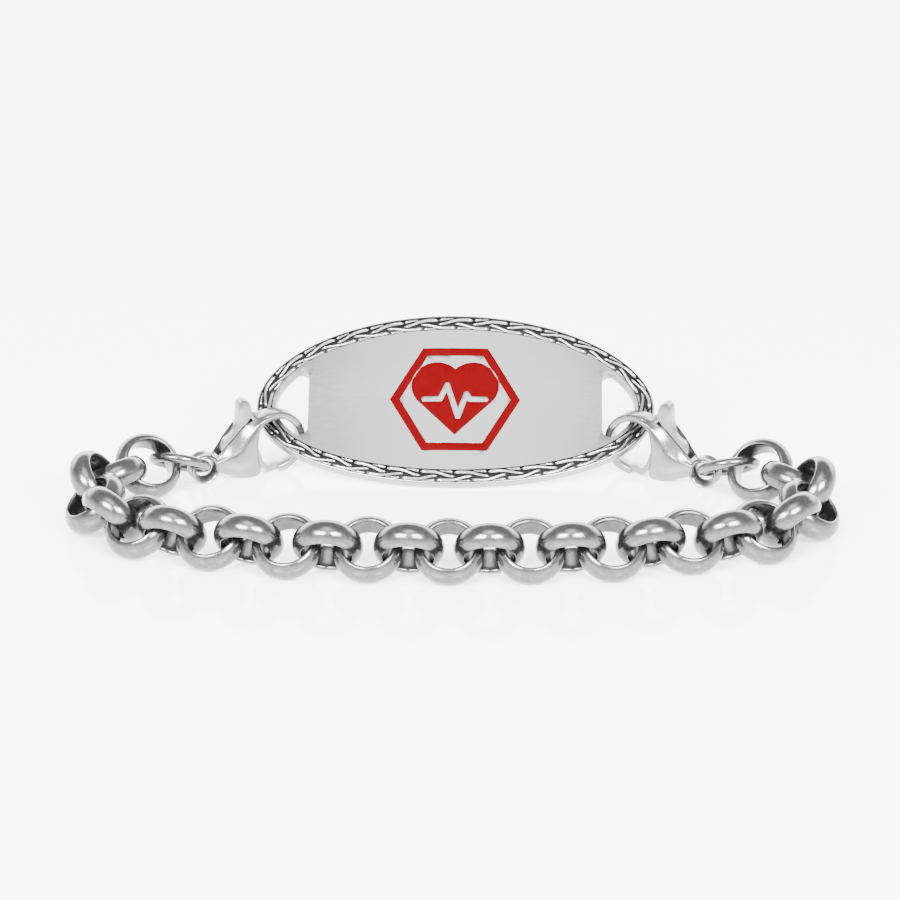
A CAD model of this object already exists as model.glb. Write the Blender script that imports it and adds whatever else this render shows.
"""Looks of a medical alert bracelet that lies as a loop on a pale glossy table.

Each class holds one sub-assembly's sizes in millimetres, builds its meshes with bmesh
operators and dresses them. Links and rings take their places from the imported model.
"""

import logging
import math
from collections.abc import Callable, Iterable, Sequence
from dataclasses import dataclass, field
from enum import Enum

import bmesh
import bpy
import numpy as np
from mathutils import Matrix, Vector


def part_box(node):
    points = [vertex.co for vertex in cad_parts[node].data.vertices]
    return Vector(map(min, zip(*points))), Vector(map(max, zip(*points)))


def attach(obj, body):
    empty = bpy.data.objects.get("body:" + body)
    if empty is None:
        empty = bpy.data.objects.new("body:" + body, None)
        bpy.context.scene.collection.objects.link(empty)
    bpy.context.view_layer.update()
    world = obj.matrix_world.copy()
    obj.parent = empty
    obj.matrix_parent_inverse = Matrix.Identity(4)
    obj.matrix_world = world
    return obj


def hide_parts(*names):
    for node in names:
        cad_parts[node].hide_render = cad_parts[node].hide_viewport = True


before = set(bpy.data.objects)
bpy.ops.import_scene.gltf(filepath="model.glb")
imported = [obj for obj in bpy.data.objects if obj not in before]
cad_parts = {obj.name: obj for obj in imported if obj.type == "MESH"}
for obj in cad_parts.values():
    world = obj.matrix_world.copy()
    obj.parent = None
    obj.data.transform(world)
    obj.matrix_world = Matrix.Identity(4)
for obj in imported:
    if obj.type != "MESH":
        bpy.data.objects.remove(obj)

MM = 0.001
LOG = logging.getLogger("bracelet")
Point = tuple[float, float]
Scale = tuple[float, float, float]
Place = Callable[[float, float, float], Vector]
Socket = bpy.types.NodeSocket

PRINCIPLED = "Principled BSDF"
# A Mix node has its sockets once for each kind of data, under the same names.
MIX_FACTOR, MIX_ONE, MIX_TWO, MIXED = 0, 6, 7, 2


class Side(Enum):
    """The bracelet's two halves, which are mirror images."""

    LEFT = -1
    RIGHT = 1

    @property
    def word(self) -> str:
        """The side's name as the nodes spell it."""
        return self.name.lower()


class NodeSheet:
    """The node tree of a material or a world, with short calls to add and join its nodes."""

    def __init__(self, owner: bpy.types.Material | bpy.types.World, shader: str) -> None:
        """Start the tree with the one shader that a new material or world has.

        Args:
            owner: The new material or world.
            shader: The shader node's name.
        """
        owner.use_nodes = True
        self.tree = owner.node_tree
        self.shader = self.tree.nodes[shader]

    def add(self, kind: str, **settings: object) -> bpy.types.Node:
        """Add a node.

        Args:
            kind: The node's type without its ShaderNode prefix.
            **settings: Properties of the node, or values of its sockets by name.

        Returns:
            The new node.
        """
        node = self.tree.nodes.new(f"ShaderNode{kind}")
        for key, value in settings.items():
            if hasattr(node, key):
                setattr(node, key, value)
            else:
                node.inputs[key.replace("_", " ")].default_value = value
        return node

    def join(self, start: Socket, end: Socket) -> None:
        """Link two sockets."""
        self.tree.links.new(start, end)

    def place(self, scale: Scale) -> Socket:
        """Object coordinates stretched by a Mapping node.

        Args:
            scale: Repeats per metre along X, Y and Z.

        Returns:
            The mapped vector's socket.
        """
        where = self.add("TexCoord")
        mapping = self.add("Mapping", Scale=scale)
        self.join(where.outputs["Object"], mapping.inputs["Vector"])
        return mapping.outputs["Vector"]

    def noise(self, scale: float | Scale, detail: float = 2.0) -> Socket:
        """A noise on the mapped object coordinates.

        Args:
            scale: Repeats per metre, the same on every axis or along X, Y and Z.
            detail: Octaves of the noise.

        Returns:
            The noise's factor.
        """
        node = self.add("TexNoise", Scale=1.0, Detail=detail)
        spans = scale if isinstance(scale, tuple) else (scale,) * 3
        self.join(self.place(spans), node.inputs["Vector"])
        return node.outputs[0]

    def spread(
        self, factor: Socket, low: float, high: float, start: float = 0.3, end: float = 0.7,
        way: str = "LINEAR",
    ) -> Socket:
        """Map a factor to a range.

        Args:
            factor: The socket to map.
            low: Result at start.
            high: Result at end.
            start: Lower limit of the factor.
            end: Upper limit of the factor.
            way: How the value runs between them.

        Returns:
            The mapped value's socket.
        """
        node = self.add("MapRange", clamp=True, interpolation_type=way)
        limits = {"From Min": start, "From Max": end, "To Min": low, "To Max": high}
        for name, value in limits.items():
            node.inputs[name].default_value = value
        self.join(factor, node.inputs["Value"])
        return node.outputs["Result"]

    def mix(self, factor: Socket, one: Sequence[float], two: Sequence[float]) -> Socket:
        """Mix two colours by a factor.

        Args:
            factor: The share of the second colour.
            one: First colour, three numbers.
            two: Second colour, three numbers.

        Returns:
            The mixed colour's socket.
        """
        node = self.add("Mix", data_type="RGBA")
        node.inputs[MIX_ONE].default_value = (*one, 1)
        node.inputs[MIX_TWO].default_value = (*two, 1)
        self.join(factor, node.inputs[MIX_FACTOR])
        return node.outputs[MIXED]

    def lift(self, factor: Socket, share: float, onto: Socket) -> Socket:
        """Add a share of a factor to another socket.

        Args:
            factor: The socket that is scaled.
            share: What it is multiplied by.
            onto: The socket that it is added to.

        Returns:
            The sum's socket.
        """
        node = self.add("Math", operation="MULTIPLY_ADD")
        self.join(factor, node.inputs[0])
        node.inputs[1].default_value = share
        self.join(onto, node.inputs[2])
        return node.outputs[0]

    def combine(self, operation: str, one: Socket, two: Socket) -> Socket:
        """Add or multiply two sockets.

        Args:
            operation: The Math node's operation.
            one: First socket.
            two: Second socket.

        Returns:
            The result's socket.
        """
        node = self.add("Math", operation=operation)
        self.join(one, node.inputs[0])
        self.join(two, node.inputs[1])
        return node.outputs[0]

    def relief(self, height: Socket, depth_mm: float) -> None:
        """Let a factor raise the surface.

        Args:
            height: The socket that gives the height, from 0 to 1.
            depth_mm: Height of 1 in millimetres.
        """
        bump = self.add("Bump", Strength=1.0, Distance=depth_mm * MM)
        self.join(height, bump.inputs["Height"])
        self.join(bump.outputs["Normal"], self.shader.inputs["Normal"])


@dataclass(frozen=True)
class SteelFinish:
    """Steel as one kind of piece shows it: tone, gloss and the marks of its polishing.

    Scales are repeats per metre. Cloud is the tone's share of unevenness, brushed the stretch
    of highlights across the grain, and dents are the soft waves left by casting or stamping.
    """

    name: str
    slot: str
    tone: float
    cloud: float = 0.06
    cloud_scale: float = 420.0
    rough: tuple[float, float] = (0.14, 0.24)
    grain: float | Scale = 5200.0
    grain_mm: float = 0.0012
    dents_scale: float = 380.0
    dents_mm: float = 0.0
    brushed: float = 0.0
    metal: float = 1.0

    def material(self) -> bpy.types.Material:
        """Build the finish's material.

        Returns:
            The new material.
        """
        made = bpy.data.materials.new(self.name)
        sheet = NodeSheet(made, PRINCIPLED)
        shader = sheet.shader
        shader.inputs["Metallic"].default_value = self.metal
        shader.inputs["Anisotropic"].default_value = self.brushed
        light = (self.tone * (1 + self.cloud),) * 3
        deep = (self.tone * (1 - self.cloud),) * 3
        clouds = sheet.spread(sheet.noise(self.cloud_scale, 3.0), 0, 1)
        sheet.join(sheet.mix(clouds, deep, light), shader.inputs["Base Color"])
        marks = sheet.noise(self.grain, 3.0)
        sheet.join(sheet.spread(marks, *self.rough), shader.inputs["Roughness"])
        if self.dents_mm:
            dents = sheet.noise(self.dents_scale, 1.0)
            marks = sheet.lift(dents, self.dents_mm / self.grain_mm, marks)
        sheet.relief(marks, self.grain_mm)
        return made


@dataclass(frozen=True)
class PlaitFinish:
    """Bright strands whose flanks keep the blackening of the groove.

    The wear runs from the first to the second height of worn, with a noise on it.
    """

    name: str = "blackened_plait"
    slot: str = "braid_steel"
    bright: float = 0.42
    black: float = 0.012
    worn: tuple[float, float] = (0.72, 0.92)
    wear_scale: float = 3000.0
    wear: float = 0.22
    wear_mm: float = 0.006
    rough: tuple[float, float] = (0.5, 0.2)

    def material(self) -> bpy.types.Material:
        """Build the finish from the strands' own height attribute.

        Returns:
            The new material.
        """
        made = bpy.data.materials.new(self.name)
        sheet = NodeSheet(made, PRINCIPLED)
        shader = sheet.shader
        shader.inputs["Metallic"].default_value = 1.0
        height = sheet.add("Attribute", attribute_name="crown")
        wear = sheet.noise(self.wear_scale, 2.0)
        lifted = sheet.lift(wear, self.wear, height.outputs["Fac"])
        share = sheet.spread(lifted, 0, 1, *self.worn)
        colour = sheet.mix(share, (self.black,) * 3, (self.bright,) * 3)
        sheet.join(colour, shader.inputs["Base Color"])
        sheet.join(sheet.spread(share, *self.rough, 0, 1), shader.inputs["Roughness"])
        sheet.relief(wear, self.wear_mm)
        return made


@dataclass(frozen=True)
class EnamelFinish:
    """Glossy red enamel with a trace of unevenness from its firing."""

    name: str = "red_enamel"
    slot: str = "enamel_red"
    red: tuple[float, float, float] = (0.066, 0.0001, 0.001)
    gloss: float = 0.02
    cloud: float = 0.1
    cloud_scale: float = 700.0
    rough: tuple[float, float] = (0.3, 0.4)
    rough_scale: float = 2600.0
    waves_scale: float = 1500.0
    waves_mm: float = 0.004

    def material(self) -> bpy.types.Material:
        """Build the enamel.

        Returns:
            The new material.
        """
        made = bpy.data.materials.new(self.name)
        sheet = NodeSheet(made, PRINCIPLED)
        shader = sheet.shader
        shader.inputs["Specular IOR Level"].default_value = self.gloss
        cast = sheet.spread(sheet.noise(self.cloud_scale, 3.0), 0, 1)
        deep = tuple((1 - self.cloud) * part for part in self.red)
        sheet.join(sheet.mix(cast, deep, self.red), shader.inputs["Base Color"])
        rough = sheet.spread(sheet.noise(self.rough_scale, 2.0), *self.rough)
        sheet.join(rough, shader.inputs["Roughness"])
        sheet.relief(sheet.noise(self.waves_scale, 2.0), self.waves_mm)
        return made


CHAIN_STEEL = SteelFinish(
    "polished_chain", "chain_steel", 0.125, cloud=0.2, cloud_scale=1700.0,
    rough=(0.155, 0.26), grain=4000.0, grain_mm=0.0025, dents_mm=0.014, metal=0.96,
)
RING_STEEL = SteelFinish(
    "polished_wire", "chain_steel", 0.15, rough=(0.16, 0.25), grain_mm=0.002, metal=0.95,
)
CLASP_STEEL = SteelFinish(
    "polished_cast", "clasp_steel", 0.215, rough=(0.17, 0.25), dents_mm=0.01, metal=0.94,
)
PLATE_STEEL = SteelFinish(
    "satin_plate", "plate_steel", 0.27, cloud=0.012, cloud_scale=160.0,
    rough=(0.26, 0.33), grain=(240.0, 5200.0, 5200.0), grain_mm=0.0008, brushed=0.3,
)
PLAIT = PlaitFinish()
ENAMEL = EnamelFinish()
Finish = SteelFinish | PlaitFinish | EnamelFinish
DRESSED: dict[str, bpy.types.Material] = {}


def dressed(finish: Finish) -> bpy.types.Material:
    """The finish's material, built once.

    Args:
        finish: The finish that a piece asks for.

    Returns:
        Its material.
    """
    if finish.name not in DRESSED:
        DRESSED[finish.name] = finish.material()
    return DRESSED[finish.name]


def settle(
    bm: bmesh.types.BMesh, name: str, finish: Finish, stands_for: Iterable[str] = (),
    body: str = "root", crease: float = 35.0, even: bool = False,
) -> bpy.types.Object:
    """Turn a bmesh in metres into a dressed piece that rides on a body.

    Args:
        bm: The mesh, with its place in its vertices.
        name: Name of the piece.
        finish: What it is dressed in.
        stands_for: Nodes that it replaces.
        body: Body that it rides on.
        crease: Angle in degrees above which an edge stays sharp.
        even: Whether large faces keep their own shading beside bevels.

    Returns:
        The new object.
    """
    mesh = bpy.data.meshes.new(name)
    bm.to_mesh(mesh)
    bm.free()
    mesh.shade_smooth()
    mesh.set_sharp_from_angle(angle=math.radians(crease))
    piece = bpy.data.objects.new(name, mesh)
    bpy.context.scene.collection.objects.link(piece)
    mesh.materials.append(dressed(finish))
    if even:
        weighted = piece.modifiers.new("even_faces", "WEIGHTED_NORMAL")
        weighted.keep_sharp = True
    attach(piece, body)
    if stands_for:
        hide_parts(*stands_for)
    LOG.info("%s: %d faces, %s", name, len(mesh.polygons), finish.name)
    return piece


def put(bm: bmesh.types.BMesh, place: Place) -> None:
    """Move every vertex from a piece's own millimetres to its place in metres."""
    for vert in bm.verts:
        vert.co = place(*vert.co) * MM


def anywhere(_middle: Vector) -> bool:
    """Pick every edge for rounding."""
    return True


def smooth_loop(points: Sequence[Point], steps: int = 6) -> list[Point]:
    """A closed smooth curve through the points.

    Args:
        points: Corners in order.
        steps: Points for each span.

    Returns:
        The curve's points.
    """
    corners = [np.array(p, float) for p in points]
    count = len(corners)
    curve = []
    for i in range(count):
        a, b, c, d = (corners[(i + k - 1) % count] for k in range(4))
        for step in range(steps):
            t = step / steps
            square, cube = 2 * a - 5 * b + 4 * c - d, 3 * b - a - 3 * c + d
            p = 0.5 * (2 * b + (c - a) * t + square * t**2 + cube * t**3)
            curve.append((float(p[0]), float(p[1])))
    return curve


def even_curve(points: Sequence[Point], count: int) -> np.ndarray:
    """An open smooth curve through points, with even spacing.

    Args:
        points: Corners in order.
        count: Number of points of the curve.

    Returns:
        The curve as an array of points.
    """
    steps = 24
    first, last = np.array(points[0], float), np.array(points[-1], float)
    before, after = 2 * first - np.array(points[1]), 2 * last - np.array(points[-2])
    dense = smooth_loop([tuple(before), *points, tuple(after)], steps)
    dense = np.array(dense)[steps : steps * len(points) + 1]
    lengths = np.concatenate(([0], np.cumsum(np.linalg.norm(np.diff(dense, axis=0), axis=1))))
    even = np.linspace(0, lengths[-1], count)
    return np.stack([np.interp(even, lengths, dense[:, k]) for k in (0, 1)], axis=1)


def arc(centre: Point, radius: float, start: float, end: float, steps: int) -> list[Point]:
    """Points on an arc.

    Args:
        centre: Its centre.
        radius: Its radius.
        start: First angle in degrees.
        end: Last angle in degrees.
        steps: Number of points.

    Returns:
        The points, both ends included.
    """
    turns = [math.radians(start + (end - start) * i / (steps - 1)) for i in range(steps)]
    return [(centre[0] + radius * math.cos(a), centre[1] + radius * math.sin(a)) for a in turns]


class Sheet:
    """A flat sheet of closed loops, filled region by region and then given its thickness."""

    def __init__(self) -> None:
        """Start an empty sheet."""
        self.bm = bmesh.new()
        self.region = self.bm.faces.layers.int.new("region")
        self.loops: dict[str, list[bmesh.types.BMEdge]] = {}

    def loop(self, name: str, points: Sequence[Point]) -> None:
        """Draw a closed loop.

        Args:
            name: What fill() calls it.
            points: Its points in order.
        """
        verts = [self.bm.verts.new((x, y, 0)) for x, y in points]
        self.loops[name] = [self.bm.edges.new((verts[i - 1], verts[i])) for i in range(len(verts))]

    def fill(self, region: int, *names: str) -> None:
        """Fill what lies between loops.

        Args:
            region: Number that the faces keep.
            *names: The outer loop and those of its holes.
        """
        edges = [edge for name in names for edge in self.loops[name]]
        made = bmesh.ops.triangle_fill(self.bm, use_beauty=True, edges=edges, normal=(0, 0, 1))
        for item in made["geom"]:
            if isinstance(item, bmesh.types.BMFace):
                item[self.region] = region

    def slice_across(self, reach: float, step: float) -> None:
        """Cut the sheet across X at even steps, so that it can bend.

        Args:
            reach: How far from the middle the first and the last cut lie.
            step: Distance between cuts.
        """
        for cut in np.arange(-reach, reach + step / 8, step):
            whole = [*self.bm.verts, *self.bm.edges, *self.bm.faces]
            bmesh.ops.bisect_plane(
                self.bm, geom=whole, dist=1e-4, plane_co=(cut, 0, 0), plane_no=(1, 0, 0),
            )

    def thicken(self, top: float, bottom: float) -> None:
        """Give the sheet its thickness.

        Args:
            top: Height of its upper face.
            bottom: Height of its lower face.
        """
        lower = bmesh.ops.extrude_face_region(self.bm, geom=list(self.bm.faces))["geom"]
        moved = {item for item in lower if isinstance(item, bmesh.types.BMVert)}
        for vert in self.bm.verts:
            vert.co.z = bottom if vert in moved else top
        bmesh.ops.recalc_face_normals(self.bm, faces=self.bm.faces)

    def sink(self, region: int, depth: float) -> None:
        """Press a region of the upper face down as a pocket.

        Args:
            region: Its number.
            depth: How deep it lies afterwards.
        """
        faces = [f for f in self.bm.faces if f[self.region] == region and f.normal.z > 0.9]
        around = {part for f in faces for part in (*f.edges, *f.verts)}
        made = bmesh.ops.extrude_face_region(self.bm, geom=[*faces, *around])["geom"]
        for item in made:
            if isinstance(item, bmesh.types.BMVert):
                item.co.z -= depth

    def round_edges(
        self, radius: float, segments: int, pick: Callable[[Vector], bool], upper: bool = True,
    ) -> None:
        """Round edges between a flat face and a wall.

        Args:
            radius: Width of the rounding.
            segments: Its steps.
            pick: Says by an edge's middle whether it is rounded.
            upper: Whether edges of upward faces are meant, or those of downward ones.
        """
        chosen = []
        for edge in self.bm.edges:
            tilt = sorted((f.normal.z if upper else -f.normal.z) for f in edge.link_faces)
            middle = (edge.verts[0].co + edge.verts[1].co) / 2
            if len(tilt) == 2 and abs(tilt[0]) < 0.5 and tilt[1] > 0.9 and pick(middle):
                chosen.append(edge)
        bmesh.ops.bevel(
            self.bm, geom=chosen, offset=radius, offset_type="OFFSET", segments=segments,
            profile=0.5, affect="EDGES", material=-1, clamp_overlap=True,
        )


def sweep(bm: bmesh.types.BMesh, rings: Sequence[Sequence[Vector]], closed: bool) -> None:
    """Join rings of vertices to a tube.

    Args:
        bm: The bmesh that gets the tube.
        rings: Rings of equal length, in order.
        closed: Whether the last ring joins the first, or both ends get a cap.
    """
    loops = []
    for ring in rings:
        verts = [bm.verts.new(p) for p in ring]
        loops.append([bm.edges.new((verts[i - 1], verts[i])) for i in range(len(verts))])
    pairs = list(zip(loops, loops[1:]))
    if closed:
        pairs.append((loops[-1], loops[0]))
    for one, two in pairs:
        bmesh.ops.bridge_loops(bm, edges=one + two)
    if not closed:
        for end in (loops[0], loops[-1]):
            bmesh.ops.contextual_create(bm, geom=end)


def ring_place(node: str) -> Matrix:
    """Place of a ring from its solid.

    Args:
        node: Name of the ring's node.

    Returns:
        A matrix in metres whose Z is the ring's axis and whose origin is its middle.
    """
    low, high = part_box(node)
    middle = (low + high) / 2
    points = np.array([v.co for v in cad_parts[node].data.vertices], float) - np.array(middle)
    axis = Vector(np.linalg.svd(points.T @ points)[2][2])
    if axis.z < 0:
        axis = -axis
    return Matrix.Translation(middle) @ axis.to_track_quat("Z", "Y").to_matrix().to_4x4()


@dataclass
class BelcherChain:
    """The chain: rings of a domed band, each through the next."""

    links: int = 27
    diameter: float = 7.6
    bore: float = 5.36
    width: float = 3.06
    edge: float = 0.22
    hollow: float = 0.015
    dome_steps: int = 14
    edge_steps: int = 5
    turns: int = 108

    def section(self) -> list[Point]:
        """The band's section: dome, rounded edges and flat inside.

        Returns:
            Its points as radius and height.
        """
        outer, inner = self.diameter / 2, self.bore / 2
        thick = outer - inner
        crown = (self.width**2 / 4 + thick**2) / (2 * thick)
        centre = outer - crown
        edge_x = inner + self.edge
        edge_y = math.sqrt((crown - self.edge) ** 2 - (edge_x - centre) ** 2)
        turn = math.degrees(math.atan2(edge_y, edge_x - centre))
        dome = arc((centre, 0), crown, -turn, turn, self.dome_steps)
        upper = arc((edge_x, edge_y), self.edge, turn, 180, self.edge_steps)[1:]
        lower = arc((edge_x, -edge_y), self.edge, 180, 360 - turn, self.edge_steps)[:-1]
        inside = [
            (inner - self.hollow * math.cos(y * math.pi / 2 / edge_y), y)
            for y in (edge_y * 0.5, 0, -edge_y * 0.5)
        ]
        return [*dome, *upper, *inside, *lower]

    def link(self, node: str) -> bmesh.types.BMesh:
        """One ring in its place.

        Args:
            node: Name of the link's node.

        Returns:
            The ring's bmesh in metres.
        """
        bm = bmesh.new()
        verts = [bm.verts.new((r * MM, 0, z * MM)) for r, z in self.section()]
        edges = [bm.edges.new((verts[i - 1], verts[i])) for i in range(len(verts))]
        bmesh.ops.spin(
            bm, geom=[*verts, *edges], cent=(0, 0, 0), axis=(0, 0, 1), angle=math.tau,
            steps=self.turns, use_merge=True,
        )
        bmesh.ops.remove_doubles(bm, verts=bm.verts, dist=1e-7)
        bmesh.ops.recalc_face_normals(bm, faces=bm.faces)
        bmesh.ops.transform(bm, matrix=ring_place(node), verts=bm.verts)
        return bm

    def build(self) -> None:
        """Build and dress all links."""
        for n in range(1, self.links + 1):
            node = f"link_{n:02d}"
            settle(self.link(node), f"chain_{node}", CHAIN_STEEL, [node], crease=60)


@dataclass
class JumpRing:
    """A ring of round wire, sawn through once and closed again."""

    side: Side
    diameter: float = 7.1
    wire: float = 1.05
    seam: float = 0.04
    seam_turn: float = 200.0
    wire_steps: int = 20
    turns: int = 96

    def build(self) -> None:
        """Build and dress the ring."""
        node = f"jump_ring_{self.side.word}"
        radius = (self.diameter - self.wire) / 2
        bm = bmesh.new()
        end = bmesh.ops.create_circle(
            bm, cap_ends=True, segments=self.wire_steps, radius=self.wire / 2 * MM,
        )["verts"]
        upright = Matrix.Rotation(math.pi / 2, 3, "X")
        bmesh.ops.rotate(bm, verts=end, cent=(0, 0, 0), matrix=upright)
        bmesh.ops.translate(bm, verts=end, vec=(radius * MM, 0, 0))
        bmesh.ops.spin(
            bm, geom=[*bm.verts, *bm.edges, *bm.faces], cent=(0, 0, 0), axis=(0, 0, 1),
            angle=math.tau - self.seam / radius, steps=self.turns, use_merge=False,
        )
        bmesh.ops.recalc_face_normals(bm, faces=bm.faces)
        seam_turn = Matrix.Rotation(math.radians(self.seam_turn), 4, "Z")
        bmesh.ops.transform(bm, matrix=ring_place(node) @ seam_turn, verts=bm.verts)
        settle(bm, f"wire_{node}", RING_STEEL, [node], crease=50)


@dataclass
class Emblem:
    """Outlines of the red emblem: a hexagon frame and a heart with a pulse line left in it."""

    corner: float = 7.35
    band: float = 0.95
    field: float = 4.95
    square: float = 1.17
    drop: float = 0.07
    line: float = 0.62
    gap: float = 0.03
    top: float = -0.02
    depth: float = 0.38
    edge: float = 0.05
    bend_reach: float = 7.0
    bend_step: float = 0.5
    lobe_steps: int = 22
    joint_steps: int = 5
    end_steps: int = 9
    pulse: tuple[Point, ...] = (
        (-0.7, 0), (-0.34, 0), (-0.18, 0.36), (0.07, -0.44), (0.26, 0.14), (0.34, 0), (0.7, 0),
    )

    def hexagon(self, inset: float) -> list[Point]:
        """A hexagon on its corners, drawn in by an inset from its sides."""
        radius = self.corner - inset / math.cos(math.pi / 6)
        return arc((0, 0), radius, 0, 300, 6)

    def heart(self, grow: float) -> list[Point]:
        """The heart's outline: a square on its corner with two half discs.

        Args:
            grow: Margin that it is grown by.

        Returns:
            The closed outline.
        """
        side, drop = self.square * self.field, self.drop * self.field
        eye = side / math.sqrt(8)
        radius = side / 2 + grow
        lobe = arc((eye, eye - drop), radius, -45, 135, self.lobe_steps)
        notch = eye - drop + math.sqrt(max(radius**2 - eye**2, 0))
        right = [p for p in lobe if p[0] > 1e-3]
        left = [(-x, y) for x, y in reversed(right)]
        tip = -(side + 2 * grow) / math.sqrt(2) - drop
        return [(0, tip), *right, (0, notch), *left]

    def pulse_line(self, width: float) -> list[Point]:
        """The pulse line's outline with round joints and ends.

        Args:
            width: Width of the line.

        Returns:
            The closed outline.
        """
        line = [np.array(p) * self.field for p in self.pulse]
        half = width / 2
        ways = [(b - a) / np.linalg.norm(b - a) for a, b in zip(line, line[1:])]
        left = [np.array((-w[1], w[0])) for w in ways]
        sides: list[list[Point]] = []
        for sign in (1, -1):
            edge: list[Point] = []
            for i, p in enumerate(line[1:-1], 1):
                n0, n1 = left[i - 1] * sign, left[i] * sign
                turn = (ways[i - 1][0] * ways[i][1] - ways[i - 1][1] * ways[i][0]) * sign
                if turn < 0:
                    for k in range(self.joint_steps + 1):
                        n = n0 + (n1 - n0) * k / self.joint_steps
                        edge.append(tuple(p + n / np.linalg.norm(n) * half))
                else:
                    n = n0 + n1
                    edge.append(tuple(p + n / (n @ n) * 2 * half))
            sides.append(edge)
        first, last = line[0], line[-1]
        head = arc(tuple(last), half, 90, -90, self.end_steps)
        tail = arc(tuple(first), half, 270, 90, self.end_steps)
        return [(float(x), float(y)) for x, y in (*sides[0], *head, *reversed(sides[1]), *tail)]

    def build(self, place: Place) -> None:
        """Build and dress the enamel in its pockets.

        Args:
            place: Takes plate millimetres to their place.
        """
        band = Sheet()
        band.loop("outside", self.hexagon(self.gap))
        band.loop("inside", self.hexagon(self.band - self.gap))
        band.fill(1, "outside", "inside")
        heart = Sheet()
        heart.loop("outside", self.heart(-self.gap))
        heart.loop("line", self.pulse_line(self.line + 2 * self.gap))
        heart.fill(1, "outside", "line")
        for sheet, name, node in (
            (band, "enamel_hexagon", "emblem_frame"),
            (heart, "enamel_heart", "emblem_field"),
        ):
            sheet.slice_across(self.bend_reach, self.bend_step)
            sheet.thicken(self.top, -self.depth)
            sheet.round_edges(self.edge, 2, anywhere)
            put(sheet.bm, place)
            settle(sheet.bm, name, ENAMEL, [node], even=True)


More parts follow.
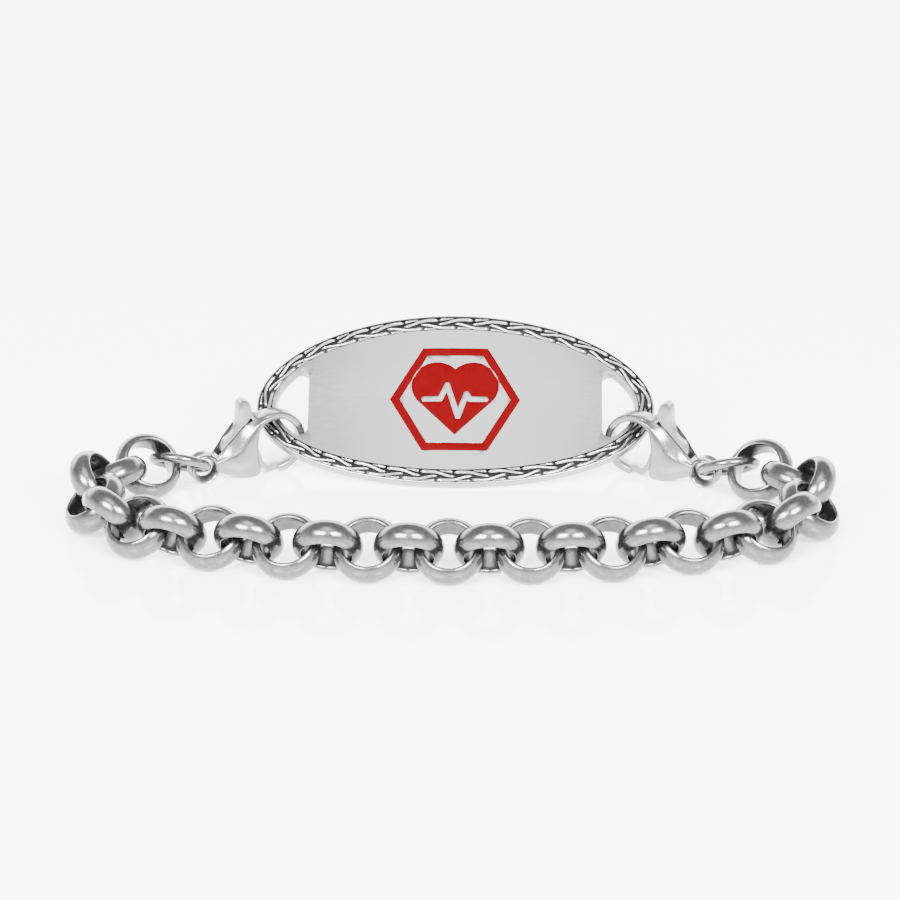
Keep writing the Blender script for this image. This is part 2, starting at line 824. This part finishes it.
@dataclass
class IdPlate:
    """The curved oval plate with its rim, border groove, strap slots and emblem pockets."""

    length: float = 45.0
    height: float = 21.0
    thick: float = 1.35
    bend: float = 115.0
    lean: float = 46.0
    low_y: float = 5.6532
    low_z: float = 0.9911
    rim: float = 0.2
    braid: float = 1.6
    groove: float = 0.45
    land: float = 0.42
    slot_in: float = 16.6
    slot_high: float = 8.0
    slot_round: float = 0.9
    slot_edge: float = 0.16
    slot_back_edge: float = 0.12
    pocket: float = 0.4
    pocket_edge: float = 0.035
    rim_top: float = 0.16
    back_round: float = 0.34
    lip: float = 0.02
    lip_low: float = 0.1
    bend_reach: float = 20.0
    bend_step: float = 0.8
    slot_steps: int = 25
    corner_steps: int = 8
    rim_steps: int = 7
    stations: int = 180
    emblem: Emblem = field(default_factory=Emblem)

    def place(self, u: float, v: float, w: float) -> Vector:
        """Take a point of the flat plate to its bent and leaning place.

        Args:
            u: Along the plate from its middle.
            v: Up the plate from its middle.
            w: Out of the plate's face.

        Returns:
            The point in the row's millimetres.
        """
        tilt = math.radians(90 - self.lean)
        out = w - (self.bend - math.sqrt(self.bend**2 - u**2))
        up = v + self.height / 2
        y = self.low_y + up * math.cos(tilt) - out * math.sin(tilt)
        z = self.low_z + up * math.sin(tilt) + out * math.cos(tilt)
        return Vector((u, y, z))

    def oval(self, inset: float, degrees: float) -> Point:
        """A point on the plate's oval.

        Args:
            inset: How far the oval is drawn in.
            degrees: The oval's own angle, from the right end.

        Returns:
            The point of the flat plate.
        """
        turn = math.radians(degrees)
        wide, high = self.length / 2 - inset, self.height / 2 - inset
        return (wide * math.cos(turn), high * math.sin(turn))

    def slot(self, sign: int) -> list[Point]:
        """Outline of a strap slot: a straight inner wall, round corners and the oval's arc.

        Args:
            sign: 1 for the right slot, -1 for the left.

        Returns:
            The outline.
        """
        inset = self.rim + self.braid + self.land
        low = self.slot_high / 2
        limit = math.degrees(math.asin(low / (self.height / 2 - inset)))
        outer = [self.oval(inset, a) for a in np.linspace(-limit, limit, self.slot_steps)]
        radius, steps = self.slot_round, self.corner_steps
        top = arc((self.slot_in + radius, low - radius), radius, 90, 180, steps)
        bottom = arc((self.slot_in + radius, -low + radius), radius, 180, 270, steps)
        return [(sign * x, y) for x, y in (*outer, *top, *bottom)]

    def beside_slot(self, p: Vector) -> bool:
        """Say whether a point of the flat plate lies on a slot's edge.

        Args:
            p: The point.

        Returns:
            True on the edge of either slot.
        """
        inset = self.rim + self.braid
        wide, high = self.oval(inset, 0)[0], self.oval(inset, 90)[1]
        near = abs(p.x) > self.slot_in - 0.01 and abs(p.y) < self.slot_high / 2 + 0.01
        return near and (p.x / wide) ** 2 + (p.y / high) ** 2 < 0.985

    def beside_pocket(self, p: Vector) -> bool:
        """Say whether a point of the flat plate lies on the upper edge of a pocket."""
        return abs(p.z) < 0.01 and math.hypot(p.x, p.y) < self.emblem.corner + 0.1

    def face(self) -> bmesh.types.BMesh:
        """The plate inside its border, with slots and pockets.

        Returns:
            The flat plate's bmesh.
        """
        sheet = Sheet()
        inset = self.rim + self.braid
        turns = [360 * i / self.stations for i in range(self.stations)]
        sheet.loop("oval", [self.oval(inset, turn) for turn in turns])
        sheet.loop("left", self.slot(-1))
        sheet.loop("right", self.slot(1))
        sheet.loop("hexagon", self.emblem.hexagon(0))
        sheet.loop("inner", self.emblem.hexagon(self.emblem.band))
        sheet.loop("heart", self.emblem.heart(0))
        sheet.loop("line", self.emblem.pulse_line(self.emblem.line))
        sheet.fill(1, "oval", "left", "right", "hexagon")
        sheet.fill(2, "hexagon", "inner")
        sheet.fill(3, "inner", "heart")
        sheet.fill(4, "heart", "line")
        sheet.fill(5, "line")
        sheet.slice_across(self.bend_reach, self.bend_step)
        sheet.thicken(0, -self.thick)
        sheet.sink(2, self.pocket)
        sheet.sink(4, self.pocket)
        sheet.round_edges(self.slot_edge, 3, self.beside_slot)
        sheet.round_edges(self.slot_back_edge, 2, self.beside_slot, upper=False)
        sheet.round_edges(self.pocket_edge, 2, self.beside_pocket)
        return sheet.bm

    def rim_section(self) -> list[Point]:
        """The section of the rim and the groove.

        Returns:
            Its points as inset from the outline and height.
        """
        inner, wall = self.rim + self.braid, self.rim + self.lip
        top = arc((self.rim, -self.rim_top), self.rim, 90, 180, self.rim_steps)
        middle = -self.thick + self.back_round
        low = arc((self.back_round, middle), self.back_round, 180, 270, self.rim_steps)
        floor = [(inner, -self.groove), (wall, -self.groove), (wall, -self.lip_low)]
        return [*floor, *top, *low, (inner, -self.thick)]

    def build(self) -> None:
        """Build and dress the plate and its emblem."""
        bm = self.face()
        rings = []
        for i in range(self.stations):
            turn = 360 * i / self.stations
            rings.append([Vector((*self.oval(inset, turn), w)) for inset, w in self.rim_section()])
        sweep(bm, rings, closed=True)
        put(bm, self.place)
        bmesh.ops.recalc_face_normals(bm, faces=bm.faces)
        settle(bm, "id_plate_satin", PLATE_STEEL, ["id_plate"], even=True)
        self.emblem.build(self.place)


@dataclass(frozen=True)
class Strand:
    """One strand of the plait.

    Start and span are shares of a repeat. The other sizes are millimetres: out is the distance
    from the border's middle line, which drifts evenly, crosses in a smooth step and sways once.
    Half width and height are given at the start, with what they gain toward the end.
    """

    start: float
    span: float
    out: float
    drift: float
    cross: float
    sway: float
    half: Point
    high: Point
    base: float
    rings: int


LONG_STRAND = Strand(
    start=0.0, span=1.04, out=0.48, drift=0.0, cross=0.48, sway=0.04,
    half=(0.26, -0.09), high=(0.36, -0.12), base=-0.22, rings=15,
)
LEAF = Strand(
    start=0.56, span=0.42, out=0.66, drift=0.12, cross=0.0, sway=0.0,
    half=(0.07, 0.13), high=(0.24, 0.0), base=-0.2, rings=9,
)


@dataclass
class BraidBorder:
    """The plate's border: two rows of strands that meet like a plait, over a blackened ground.

    A strand crosses over from cross_from on, within cross_span, both shares of its length.
    Where its girth is under tip_girth it is a sunk tip, and takes tip_crown as its height.
    """

    plate: IdPlate
    repeats: int = 26
    rows: tuple[int, int] = (1, -1)
    sides: int = 12
    blunt: float = 1.7
    cross_from: float = 0.4
    cross_span: float = 0.58
    tip_girth: float = 0.3
    tip_crown: float = 0.25
    ground_top: float = -0.13
    ground_shoulder: float = 0.03
    ground_low: float = -0.44
    ground_round: float = 0.05
    ground_gap: float = 0.02
    ground_stations: int = 240
    turns: np.ndarray = field(init=False)
    lengths: np.ndarray = field(init=False)

    def __post_init__(self) -> None:
        """Tabulate the arc length along the border's middle line against the angle."""
        self.turns = np.linspace(0, 360, 1441)
        inset = self.plate.rim + self.plate.braid / 2
        points = np.array([self.plate.oval(inset, turn) for turn in self.turns])
        steps = np.linalg.norm(np.diff(points, axis=0), axis=1)
        self.lengths = np.concatenate(([0], np.cumsum(steps)))

    def place(self, along: float, across: float, up: float) -> Vector:
        """Take border coordinates to the plate's place.

        Args:
            along: Length along the middle line.
            across: Outward from the middle line.
            up: Out of the plate's face.

        Returns:
            The point in metres.
        """
        turn = float(np.interp(along % self.lengths[-1], self.lengths, self.turns))
        u, v = self.plate.oval(self.plate.rim + self.plate.braid / 2 - across, turn)
        return self.plate.place(u, v, up) * MM

    def lay(self, bm: bmesh.types.BMesh, strand: Strand, start: float, row: int) -> None:
        """Lay one strand and note the height of its crown.

        Args:
            bm: The bmesh that gets it.
            strand: Its shape.
            start: Where its repeat begins along the border.
            row: 1 for the outer row, -1 for the inner.
        """
        crown = bm.verts.layers.float["crown"]
        step = float(self.lengths[-1]) / self.repeats
        made = bmesh.ops.create_uvsphere(
            bm, u_segments=self.sides, v_segments=strand.rings, radius=1.0,
        )["verts"]
        for vert in made:
            x, y, z = vert.co.z, vert.co.x, vert.co.y
            t = (x + 1) / 2
            belly = math.sqrt(max(1 - x * x, 0))
            if belly > 1e-6:
                y, z = y / belly, z / belly
            full = min(1.0, belly * self.blunt)
            fall = min(1.0, max(0.0, (t - self.cross_from) / self.cross_span))
            fall = fall * fall * (3 - 2 * fall)
            sway = strand.sway * math.sin(math.tau * t)
            middle = strand.out - strand.drift * t - strand.cross * fall + sway
            half = (strand.half[0] + strand.half[1] * t) * full
            high = (strand.high[0] + strand.high[1] * t) * full
            vert[crown] = 0.5 + 0.5 * z if full > self.tip_girth else self.tip_crown
            along = start + (strand.start + t * strand.span) * step
            vert.co = self.place(along, row * (middle + y * half), strand.base + z * high)

    def ground(self, bm: bmesh.types.BMesh) -> None:
        """Add the ring of ground that the strands lie on.

        Args:
            bm: The bmesh that gets it.
        """
        half = self.plate.braid / 2 - self.ground_gap
        shoulder = self.ground_top - self.ground_shoulder
        section = [
            (-half, self.ground_low), (half, self.ground_low), (half, shoulder),
            (half - self.ground_round, self.ground_top),
            (-half + self.ground_round, self.ground_top), (-half, shoulder),
        ]
        count, total = self.ground_stations, float(self.lengths[-1])
        rings = []
        for i in range(count):
            rings.append([self.place(total * i / count, n, w) for n, w in section])
        sweep(bm, rings, closed=True)

    def build(self) -> None:
        """Build and dress the ground ring and all strands."""
        bm = bmesh.new()
        crown = bm.verts.layers.float.new("crown")
        self.ground(bm)
        for vert in bm.verts:
            vert[crown] = 0.0
        step = float(self.lengths[-1]) / self.repeats
        for i in range(self.repeats):
            for k, row in enumerate(self.rows):
                for strand in (LONG_STRAND, LEAF):
                    self.lay(bm, strand, (i + 0.5 * k) * step, row)
        bmesh.ops.recalc_face_normals(bm, faces=bm.faces)
        settle(bm, "braid_border", PLAIT, ["plate_border"], crease=50)


@dataclass
class LeverClasp:
    """A cast lever clasp: two domed walls, a hook in one sweep, an eye and a sprung lever.

    Values that end in share are parts of a wall's height or length, over which its form fades.
    The lever's tab starts at tab_from and widens over tab_rise, both in outer radii of the bow.
    """

    side: Side
    eye_at: tuple[float, float, float] = (28.1419, 8.3047, 1.72)
    heading: float = 25.0
    rise: float = 12.8171
    reach: float = 8.7
    bow: float = 2.78
    bow_thick: float = 0.85
    wide: float = 3.0
    channel: float = 1.4
    gap: float = 0.12
    eye_radius: float = 1.7
    eye_wide: float = 2.0
    eye_hole: float = 1.0
    eye_flare: float = 0.4
    pin_radius: float = 0.4
    columns: int = 44
    bevel: float = 0.78
    bevel_from: float = 0.76
    swell: float = 0.22
    swell_share: float = 0.8
    under: float = 0.5
    under_share: float = 0.4
    taper: float = 0.4
    taper_share: float = 0.3
    wall_least: float = 0.04
    back_lift: float = 0.75
    web_depth: float = 0.05
    hook_start: float = 118.0
    hook_search: float = -96.0
    hook_half: float = 0.92
    hook_root: float = 0.46
    hook_root_fall: float = 3.2
    hook_narrow: float = 0.1
    hook_thin: float = 0.08
    hook_round: float = 0.2
    hook_rings: int = 60
    nose_gap: float = 0.15
    eye_lip: float = 0.27
    eye_turns: int = 56
    pin_over: float = 0.15
    pin_sides: int = 24
    lever_edge: float = 0.22
    tab_flare: float = 0.15
    tab_from: float = 1.12
    tab_rise: float = 0.4

    @property
    def bow_out(self) -> float:
        """Outer radius of the hook's bow."""
        return self.bow + self.bow_thick

    @property
    def pin(self) -> Point:
        """Middle of the hinge pin."""
        return (0.53 * self.reach, -0.28 * self.bow_out)

    @property
    def nose(self) -> float:
        """Distance from the pin to the lever's nose."""
        x, y = self.pin
        return math.hypot(self.reach - 0.12 * self.bow_out - x, -0.82 * self.bow_out - y)

    def place(self, x: float, y: float, z: float) -> Vector:
        """Take the flat clasp to its place.

        Args:
            x: From the eye toward the hook.
            y: Toward the thumb tab.
            z: Across, away from the front wall.

        Returns:
            The point in the row's millimetres.
        """
        turn, rise = math.radians(self.heading), math.radians(self.rise)
        ahead = Vector((-math.cos(turn), math.sin(turn), 0))
        along = ahead * math.cos(rise) + Vector((0, 0, math.sin(rise)))
        up = -ahead * math.sin(rise) + Vector((0, 0, math.cos(rise)))
        across = Vector((math.sin(turn), math.cos(turn), 0))
        point = Vector(self.eye_at) + x * along + y * up + z * across
        point.x *= self.side.value
        return point

    def ridge(self, lift: float) -> np.ndarray:
        """The upper edge of a wall, from the eye to the hook.

        Args:
            lift: How much higher its middle stands.

        Returns:
            Evenly spaced points.
        """
        e, b, r = self.eye_radius, self.reach, self.bow_out
        curve = even_curve([
            (0.8 * e, 0.5 * e), (1.5 * e, 0.8 * e), (0.46 * b, 0.61 * r),
            (0.64 * b, 0.87 * r), (b - 0.45 * r, r), (b - 0.12 * r, 0.99 * r),
        ], self.columns)
        swing = np.sin(np.linspace(0, math.pi, self.columns)) * lift
        return curve + np.stack((-0.4 * swing, swing), axis=1)

    def belly(self) -> np.ndarray:
        """The lower edge of the walls: under the body and up the gate side to the hook.

        Returns:
            Evenly spaced points.
        """
        e, b, r = self.eye_radius, self.reach, self.bow_out
        return even_curve([
            (0.84 * e, -0.6 * e), (0.35 * b, -0.57 * r), (0.53 * b, -0.78 * r),
            (b - 0.76 * r, -0.76 * r), (b - 0.68 * r, -0.35 * r), (b - 0.58 * r, 0.2 * r),
            (b - 0.45 * r, 0.58 * r), (b - 0.23 * r, 0.8 * r),
        ], self.columns)

    def wall(self, bm: bmesh.types.BMesh, sign: int, lift: float) -> None:
        """Add one wall as a loft from its belly to its ridge, with the bevel along the ridge.

        Args:
            bm: The bmesh that gets it.
            sign: -1 for the front wall, 1 for the back.
            lift: How much higher the ridge stands in its middle.
        """
        top, low = self.ridge(lift), self.belly()
        rows = (
            0, 0.02, 0.06, 0.12, 0.2, 0.3, 0.42, 0.55,
            0.66, 0.73, 0.77, 0.8, 0.84, 0.9, 0.96, 1,
        )
        inner, outer = self.channel / 2, self.wide / 2
        rings = []
        for i in range(self.columns):
            s = i / (self.columns - 1)
            taper = self.taper * max(0.0, 1 - s / self.taper_share) ** 2
            arch = self.swell * math.sin(math.pi * s)
            ring = []
            for v in rows:
                x, y = low[i] + (top[i] - low[i]) * v
                bevel = self.bevel * max(0.0, (v - self.bevel_from) / (1 - self.bevel_from))
                under = self.under * max(0.0, 1 - v / self.under_share) ** 2.2
                swell = arch * math.sin(math.pi * min(1.0, v / self.swell_share))
                far = max(inner + self.wall_least, outer + swell - bevel - under - taper)
                ring.append(Vector((x, y, sign * far)))
            for v in (1, 0.5, 0):
                ring.append(Vector((*(low[i] + (top[i] - low[i]) * v), sign * inner)))
            rings.append(ring)
        sweep(bm, rings, closed=False)

    def webs(self) -> list[list[Point]]:
        """The webs between the walls: at the belly, at the eye and at the hook.

        Returns:
            Their closed outlines.
        """
        e, b, r = self.eye_radius, self.reach, self.bow_out
        belly = [
            (0.8 * e, 0.3 * e), (1.25 * e, 0.02 * e), (1.9 * e, -0.8 * e), (0.46 * b, -0.56 * r),
            (b - 0.78 * r, -0.6 * r), (b - 0.78 * r, -0.72 * r), (0.5 * b, -0.68 * r),
            (1.3 * e, -0.75 * e), (0.88 * e, -0.5 * e),
        ]
        eye = [
            (0.78 * e, 0.4 * e), (0.95 * e, 0.52 * e), (1.1 * e, 0.55 * e),
            (1.13 * e, 0), (1.05 * e, -0.45 * e), (0.87 * e, -0.35 * e),
        ]
        hook = [
            (b - 0.52 * r, 0.62 * r), (b - 0.42 * r, 0.6 * r), (b - 0.27 * r, 0.72 * r),
            (b - 0.24 * r, 0.84 * r), (b - 0.38 * r, 0.92 * r), (b - 0.52 * r, 0.9 * r),
        ]
        return [smooth_loop(points) for points in (belly, eye, hook)]

    def walls(self) -> bmesh.types.BMesh:
        """The two walls and the webs that join them.

        Returns:
            Their bmesh.
        """
        whole = bmesh.new()
        self.wall(whole, -1, 0.0)
        self.wall(whole, 1, self.back_lift)
        half = self.channel / 2 + self.web_depth
        for outline in self.webs():
            sheet = Sheet()
            sheet.loop("web", outline)
            sheet.fill(1, "web")
            sheet.thicken(half, -half)
            kept = bpy.data.meshes.new("web")
            sheet.bm.to_mesh(kept)
            sheet.bm.free()
            whole.from_mesh(kept)
            bpy.data.meshes.remove(kept)
        return whole

    def hook(self, bm: bmesh.types.BMesh) -> None:
        """Add the hook: a flat strip bent to a bow that narrows toward its end.

        Args:
            bm: The bmesh that gets it.
        """
        last = self.hook_end()
        middle = self.bow + self.bow_thick / 2
        corner = self.hook_round
        rings = []
        for turn in np.linspace(self.hook_start, last, self.hook_rings):
            share = (self.hook_start - turn) / (self.hook_start - last)
            root = self.hook_root * max(0.0, 1 - share * self.hook_root_fall) ** 1.5
            half = self.hook_half + root - self.hook_narrow * share
            thick = self.bow_thick * (1.0 - self.hook_thin * share)
            section = []
            for cx, cz, start in ((1, 1, 0), (-1, 1, 90), (-1, -1, 180), (1, -1, 270)):
                centre = (cx * (thick / 2 - corner), cz * (half - corner))
                section.extend(arc(centre, corner, start, start + 90, 4))
            angle = math.radians(turn)
            ring = []
            for out, across in section:
                radius = middle + out
                x = self.reach + radius * math.cos(angle)
                ring.append(Vector((x, radius * math.sin(angle), across)))
            rings.append(ring)
        sweep(bm, rings, closed=False)

    def hook_end(self) -> float:
        """Find where the hook ends, just short of the lever's nose.

        Returns:
            The angle in degrees about the bow's middle.
        """
        px, py = self.pin
        last = self.hook_search
        while True:
            x = self.reach + self.bow_out * math.cos(math.radians(last))
            y = self.bow_out * math.sin(math.radians(last))
            if math.hypot(x - px, y - py) >= self.nose + self.nose_gap:
                return last
            last += 1

    def eye(self, bm: bmesh.types.BMesh) -> None:
        """Add the eye: a thick ring with two rounded lips and a flared hole.

        Args:
            bm: The bmesh that gets it.
        """
        half, out = self.eye_wide / 2, self.eye_radius
        face = self.eye_hole + self.eye_flare
        waist = half - self.eye_lip - 0.12
        section = [
            (self.eye_hole, 0), (self.eye_hole + 0.1, 0.3 * half), (face - 0.16, 0.72 * half),
            (face - 0.02, 0.93 * half), (face + 0.1, half), (out - 0.12, 0.97 * half),
            (out, half - 0.2), (out, waist), (out - 0.14, 0.2 * half), (out - 0.17, 0),
        ]
        section += [(x, -z) for x, z in reversed(section[1:-1])]
        verts = [bm.verts.new((x, 0, z)) for x, z in section]
        edges = [bm.edges.new((verts[i - 1], verts[i])) for i in range(len(verts))]
        bmesh.ops.spin(
            bm, geom=[*verts, *edges], cent=(0, 0, 0), axis=(0, 0, 1), angle=math.tau,
            steps=self.eye_turns, use_merge=True,
        )

    def lever_outline(self) -> list[Point]:
        """The lever's arm, thumb tab, gate and nose, trimmed to turn past the hook.

        Returns:
            The closed outline.
        """
        e, b, r = self.eye_radius, self.reach, self.bow_out
        curve = smooth_loop([
            (1.45 * e, 0.45 * e), (1.42 * e, 0.75 * e), (0.35 * b, 0.62 * r),
            (0.47 * b, 0.79 * r), (0.56 * b, 1.03 * r), (0.605 * b, 1.3 * r),
            (0.635 * b, 1.55 * r), (0.68 * b, 1.7 * r), (0.735 * b, 1.72 * r),
            (0.785 * b, 1.6 * r), (0.8 * b, 1.38 * r), (0.785 * b, 1.16 * r), (0.72 * b, r),
            (0.62 * b, 0.8 * r), (0.68 * b, 0.4 * r), (b - 0.6 * r, 0.2 * r),
            (b - 0.54 * r, -0.45 * r), (b - 0.42 * r, -0.66 * r), (b - 0.04 * r, -0.72 * r),
            (b - 0.02 * r, -0.86 * r), (b - 0.48 * r, -0.87 * r), (b - 0.62 * r, -0.68 * r),
            (0.56 * b, -0.48 * r), (0.47 * b, -0.44 * r), (0.42 * b, -0.3 * r),
            (0.36 * b, -0.02 * r), (0.3 * b, 0.2 * r),
        ])
        pin = np.array(self.pin)
        trimmed = []
        for p in curve:
            off = np.array(p) - pin
            far = float(np.linalg.norm(off))
            if far > self.nose and p[1] < -0.6 * r:
                off *= self.nose / far
            trimmed.append(tuple(pin + off))
        return trimmed

    def lever(self) -> bmesh.types.BMesh:
        """The lever, with round edges and a tab that flares toward its end.

        Returns:
            Its bmesh.
        """
        sheet = Sheet()
        sheet.loop("outline", self.lever_outline())
        sheet.fill(1, "outline")
        half = self.channel / 2 - self.gap
        sheet.thicken(half, -half)
        sheet.round_edges(self.lever_edge, 4, anywhere)
        sheet.round_edges(self.lever_edge, 4, anywhere, upper=False)
        start, rise = self.tab_from * self.bow_out, self.tab_rise * self.bow_out
        for vert in sheet.bm.verts:
            flare = min(1.0, max(0.0, (vert.co.y - start) / rise))
            vert.co.z *= 1 + self.tab_flare * flare * flare * (3 - 2 * flare)
        return sheet.bm

    def build(self) -> None:
        """Build and dress the body and its lever."""
        body = self.walls()
        self.hook(body)
        self.eye(body)
        pin = bmesh.ops.create_cone(
            body, cap_ends=True, segments=self.pin_sides, radius1=self.pin_radius,
            radius2=self.pin_radius, depth=self.channel + 2 * self.pin_over,
        )["verts"]
        bmesh.ops.translate(body, verts=pin, vec=(*self.pin, 0))
        side = self.side.word
        for bm, name, node, rides_on in (
            (body, f"cast_body_{side}", f"clasp_body_{side}", "root"),
            (self.lever(), f"sprung_lever_{side}", f"clasp_lever_{side}", f"lever_{side}"),
        ):
            put(bm, self.place)
            bmesh.ops.remove_doubles(bm, verts=bm.verts, dist=1e-7)
            bmesh.ops.recalc_face_normals(bm, faces=bm.faces)
            settle(bm, name, CLASP_STEEL, [node], body=rides_on, crease=50, even=True)


@dataclass
class Studio:
    """Pale glossy table lit from within, soft light all round, two soft boxes and the camera.

    Strengths are radiances, and sizes of lamps are metres. The glow overhead is brightest
    where glow_way points, and box_way points from the bracelet to the right soft box. A pair
    of limits says between which parts of a full way a light fades in or out. The way is up for
    most of them, toward the back for band_depth and along glow_way for glow_edge.
    """

    azimuth: float = 1.2
    elevation: float = 21.5
    distance: float = 400.0
    target: tuple[float, float, float] = (-0.28, -0.18, 7.37)
    lens: float = 146.3
    ambient: float = 1.0
    ambient_low: float = 0.8
    horizon: float = 2.6
    backdrop: float = 11.0
    overhead: float = 6.3
    glow_way: tuple[float, float, float] = (0.0, -0.33, 0.944)
    glow_edge: Point = (0.93, 1.0)
    band_low: Point = (0.1, 0.24)
    band_high: Point = (0.48, 0.62)
    band_depth: Point = (0.25, 0.7)
    room_heights: Point = (-0.2, 0.9)
    haze_heights: Point = (0.0, 0.5)
    boxes: float = 84.0
    box_size: Point = (0.28, 0.21)
    box_way: tuple[float, float, float] = (0.4, -0.72, 0.58)
    box_far: float = 0.62
    table_half: float = 4.0
    table_white: float = 0.93
    table_rough: float = 0.13
    table_ior: float = 1.42
    table_glow: float = 1.4

    def table(self) -> None:
        """Lay the table."""
        bm = bmesh.new()
        bmesh.ops.create_grid(bm, x_segments=1, y_segments=1, size=self.table_half)
        mesh = bpy.data.meshes.new("table")
        bm.to_mesh(mesh)
        bm.free()
        white = bpy.data.materials.new("pale_table")
        shader = NodeSheet(white, PRINCIPLED).shader
        shader.inputs["Base Color"].default_value = (*(self.table_white,) * 3, 1)
        shader.inputs["Roughness"].default_value = self.table_rough
        shader.inputs["IOR"].default_value = self.table_ior
        shader.inputs["Emission Color"].default_value = (1, 1, 1, 1)
        shader.inputs["Emission Strength"].default_value = self.table_glow
        mesh.materials.append(white)
        table = bpy.data.objects.new("table", mesh)
        bpy.context.scene.collection.objects.link(table)

    def sky(self) -> None:
        """Make the soft light all round: a grey room with a bright back and a glow overhead."""
        world = bpy.data.worlds.new("soft_room")
        bpy.context.scene.world = world
        sheet = NodeSheet(world, "Background")
        toward = sheet.add("TexCoord").outputs["Generated"]
        split = sheet.add("SeparateXYZ")
        sheet.join(toward, split.inputs[0])
        above = sheet.add("VectorMath", operation="DOT_PRODUCT")
        above.inputs[1].default_value = self.glow_way
        sheet.join(toward, above.inputs[0])
        height, depth, near = split.outputs["Z"], split.outputs["Y"], above.outputs["Value"]
        lights = [
            sheet.spread(socket, low, high, *limits, way="SMOOTHSTEP")
            for socket, low, high, limits in (
                (height, 0, 1, self.band_low),
                (height, 1, 0, self.band_high),
                (depth, 0, self.backdrop, self.band_depth),
                (near, 0, self.overhead, self.glow_edge),
                (height, self.ambient_low, self.ambient, self.room_heights),
                (height, self.horizon, 0, self.haze_heights),
            )
        ]
        foot, head, backdrop, glow, room, haze = lights
        band = sheet.combine("MULTIPLY", sheet.combine("MULTIPLY", foot, head), backdrop)
        ahead, behind = sheet.combine("ADD", room, glow), sheet.combine("ADD", band, haze)
        total = sheet.combine("ADD", ahead, behind)
        sheet.join(total, sheet.shader.inputs["Strength"])
        sheet.shader.inputs["Color"].default_value = (1, 1, 1, 1)

    def lamps(self) -> None:
        """Hang two soft boxes in front, whose images pair on each dome."""
        for side in Side:
            light = bpy.data.lights.new(f"soft_box_{side.word}", "AREA")
            light.shape = "RECTANGLE"
            light.size, light.size_y = self.box_size
            light.energy = self.boxes * light.size * light.size_y * math.pi
            lamp = bpy.data.objects.new(light.name, light)
            bpy.context.scene.collection.objects.link(lamp)
            way = Vector(self.box_way).normalized()
            way.x *= side.value
            lamp.location = way * self.box_far
            lamp.rotation_mode = "QUATERNION"
            lamp.rotation_quaternion = way.to_track_quat("Z", "Y")

    def camera(self) -> None:
        """Set up the camera at the photograph's angle."""
        data = bpy.data.cameras.new("camera")
        data.sensor_width = 36
        data.lens = self.lens
        data.clip_start, data.clip_end = 0.01, 20
        camera = bpy.data.objects.new("camera", data)
        bpy.context.scene.collection.objects.link(camera)
        turn, rise = math.radians(self.azimuth), math.radians(self.elevation)
        level = Vector((math.sin(turn), -math.cos(turn), 0)) * math.cos(rise)
        back = level + Vector((0, 0, math.sin(rise)))
        camera.location = (Vector(self.target) + back * self.distance) * MM
        camera.rotation_mode = "QUATERNION"
        camera.rotation_quaternion = (-back).to_track_quat("-Z", "Y")
        bpy.context.scene.camera = camera

    def build(self) -> None:
        """Set the whole stage."""
        self.table()
        self.sky()
        self.lamps()
        self.camera()


def main() -> None:
    """Build the bracelet and its stage."""
    logging.basicConfig(level=logging.INFO, format="%(name)s %(message)s")
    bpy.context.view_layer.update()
    Studio().build()
    plate = IdPlate()
    plate.build()
    BraidBorder(plate).build()
    BelcherChain().build()
    for side in Side:
        JumpRing(side).build()
        LeverClasp(side).build()


if __name__ == "__main__":
    main()
